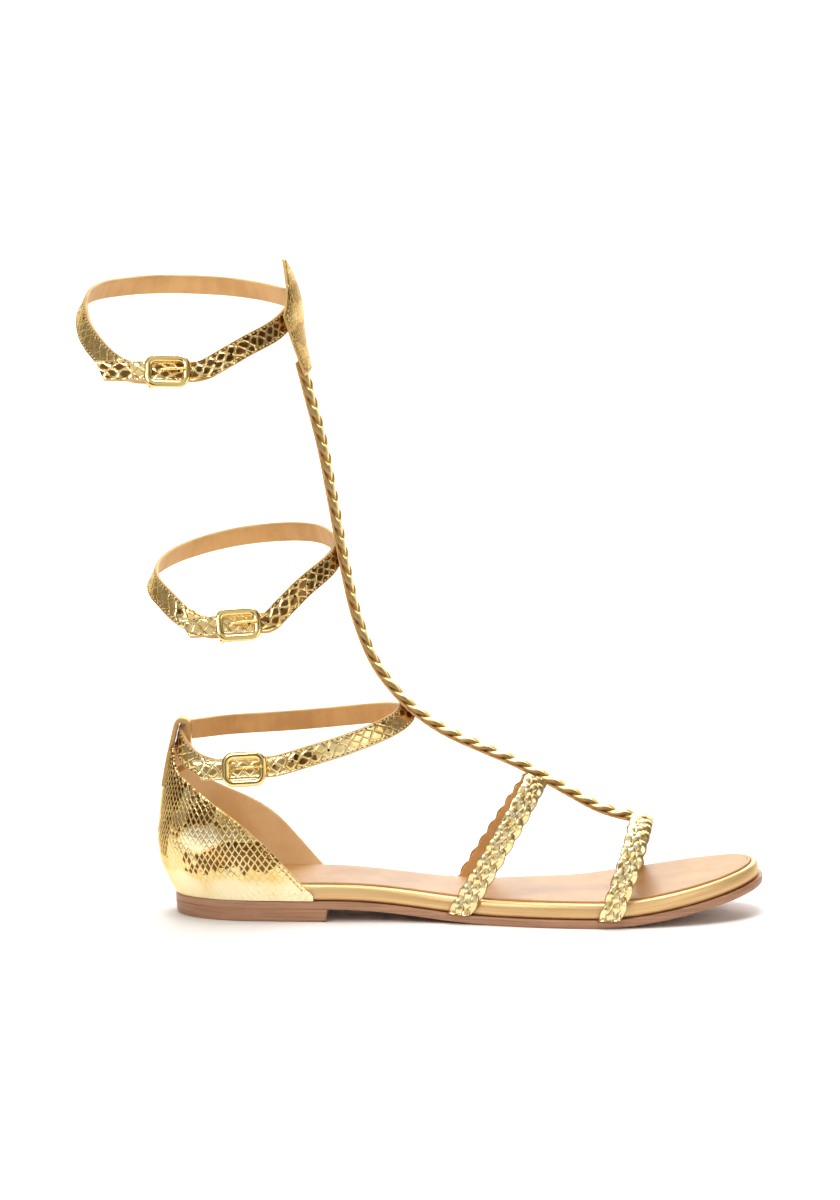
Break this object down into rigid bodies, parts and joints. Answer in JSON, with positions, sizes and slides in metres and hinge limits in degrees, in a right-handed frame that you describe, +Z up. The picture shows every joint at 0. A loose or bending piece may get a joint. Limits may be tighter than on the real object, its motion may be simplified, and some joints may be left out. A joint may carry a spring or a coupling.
{
  "type": "gladiator sandal",
  "caption": "Flat open-toe gladiator sandal: braided T-strap up the shin, braided instep and toe straps, closed heel, buckled straps round ankle, calf and knee.",
  "frame": {"origin": "middle of the heel lift's flat bottom, on the floor", "axes": "+X to the toe, +Y to the inner side of the foot, +Z up"},
  "size_m": [0.2944, 0.1117, 0.2821],
  "materials": {
    "outsole": "satin",
    "footbed": "metallic gold, satin",
    "insole": "matte tan",
    "snake": "metallic gold, snake embossed",
    "braid": "metallic gold, braided",
    "metal": "polished"
  },
  "bodies": {
    "root": {"heel_lift": "outsole", "outsole": "outsole", "footbed": "footbed", "insole": "insole", "heel_counter": "snake", "braided_upper": "braid", "diamond_patch": "snake", "ankle_strap": "snake", "ankle_buckle": "metal", "ankle_prong": "metal", "middle_strap": "snake", "middle_buckle": "metal", "middle_prong": "metal", "top_strap": "snake", "top_buckle": "metal", "top_prong": "metal"}
  },
  "joints": []
}
